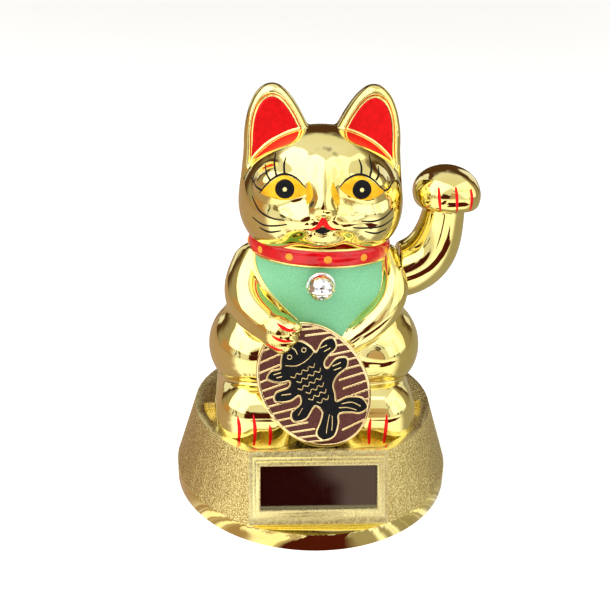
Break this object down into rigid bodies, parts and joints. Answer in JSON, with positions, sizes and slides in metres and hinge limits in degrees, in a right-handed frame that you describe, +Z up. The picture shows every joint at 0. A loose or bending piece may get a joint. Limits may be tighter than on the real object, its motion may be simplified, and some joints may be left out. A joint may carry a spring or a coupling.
{
  "type": "beckoning cat figurine",
  "caption": "Seated gold cat figurine on a round base, with a solar cell in front and one raised arm that swings on a magnet pendulum.",
  "frame": {"origin": "centre of the flat underside of the base, on the surface that it stands on", "axes": "+Z up; the figure faces -Y; +X is on a viewer's right, on the side of the swinging arm"},
  "size_m": [0.0899, 0.0888, 0.1256],
  "materials": {
    "sand_gold": "vacuum-plated gold over a fine sand texture",
    "mirror_gold": "vacuum-plated mirror gold",
    "cover_plastic": "moulded, satin",
    "coin_enamel": "dark red and black enamel in gold lines",
    "bell_plating": "silver plated",
    "cell_glass": "glossy amorphous silicon cell behind glass",
    "tape": "adhesive tape",
    "red_insulation": "wire insulation",
    "black_insulation": "wire insulation",
    "board_laminate": "solder mask",
    "black_resin": "epoxy drop over the chip",
    "capacitor_sleeve": "sleeved can",
    "inner_plastic": "moulded, unpainted",
    "copper_wire": "enamelled copper wire",
    "zinc_steel": "zinc plated",
    "steel": "ground steel",
    "nickel_magnet": "nickel-plated magnet"
  },
  "bodies": {
    "housing": {"base_housing": "sand_gold", "base_cover": "cover_plastic", "cover_screws": "zinc_steel", "figure_front_shell": "mirror_gold", "figure_rear_shell": "mirror_gold", "figure_screws": "zinc_steel", "coin_plaque": "coin_enamel", "collar_bell": "bell_plating", "solar_cell": "cell_glass", "cell_tape": "tape", "cell_lead_red": "red_insulation", "cell_lead_black": "black_insulation", "circuit_board": "board_laminate", "board_screws": "zinc_steel", "driver_chip": "black_resin", "capacitor": "capacitor_sleeve", "coil_bobbin": "inner_plastic", "coil_winding": "copper_wire", "pivot_bracket": "inner_plastic", "bracket_screws": "zinc_steel"},
    "arm": {"arm_front_shell": "mirror_gold", "arm_rear_shell": "mirror_gold", "arm_hub": "inner_plastic", "pivot_axle": "steel", "axle_collars": "steel", "pendulum_lever": "inner_plastic", "drive_magnet": "nickel_magnet", "balance_weight": "steel"}
  },
  "joints": [
    {"name": "arm_swing", "type": "hinge", "parent": "housing", "child": "arm", "pos_m": [0, 0, 0.07], "axis": [1, 0, 0], "range_deg": [-15, 15]}
  ]
}
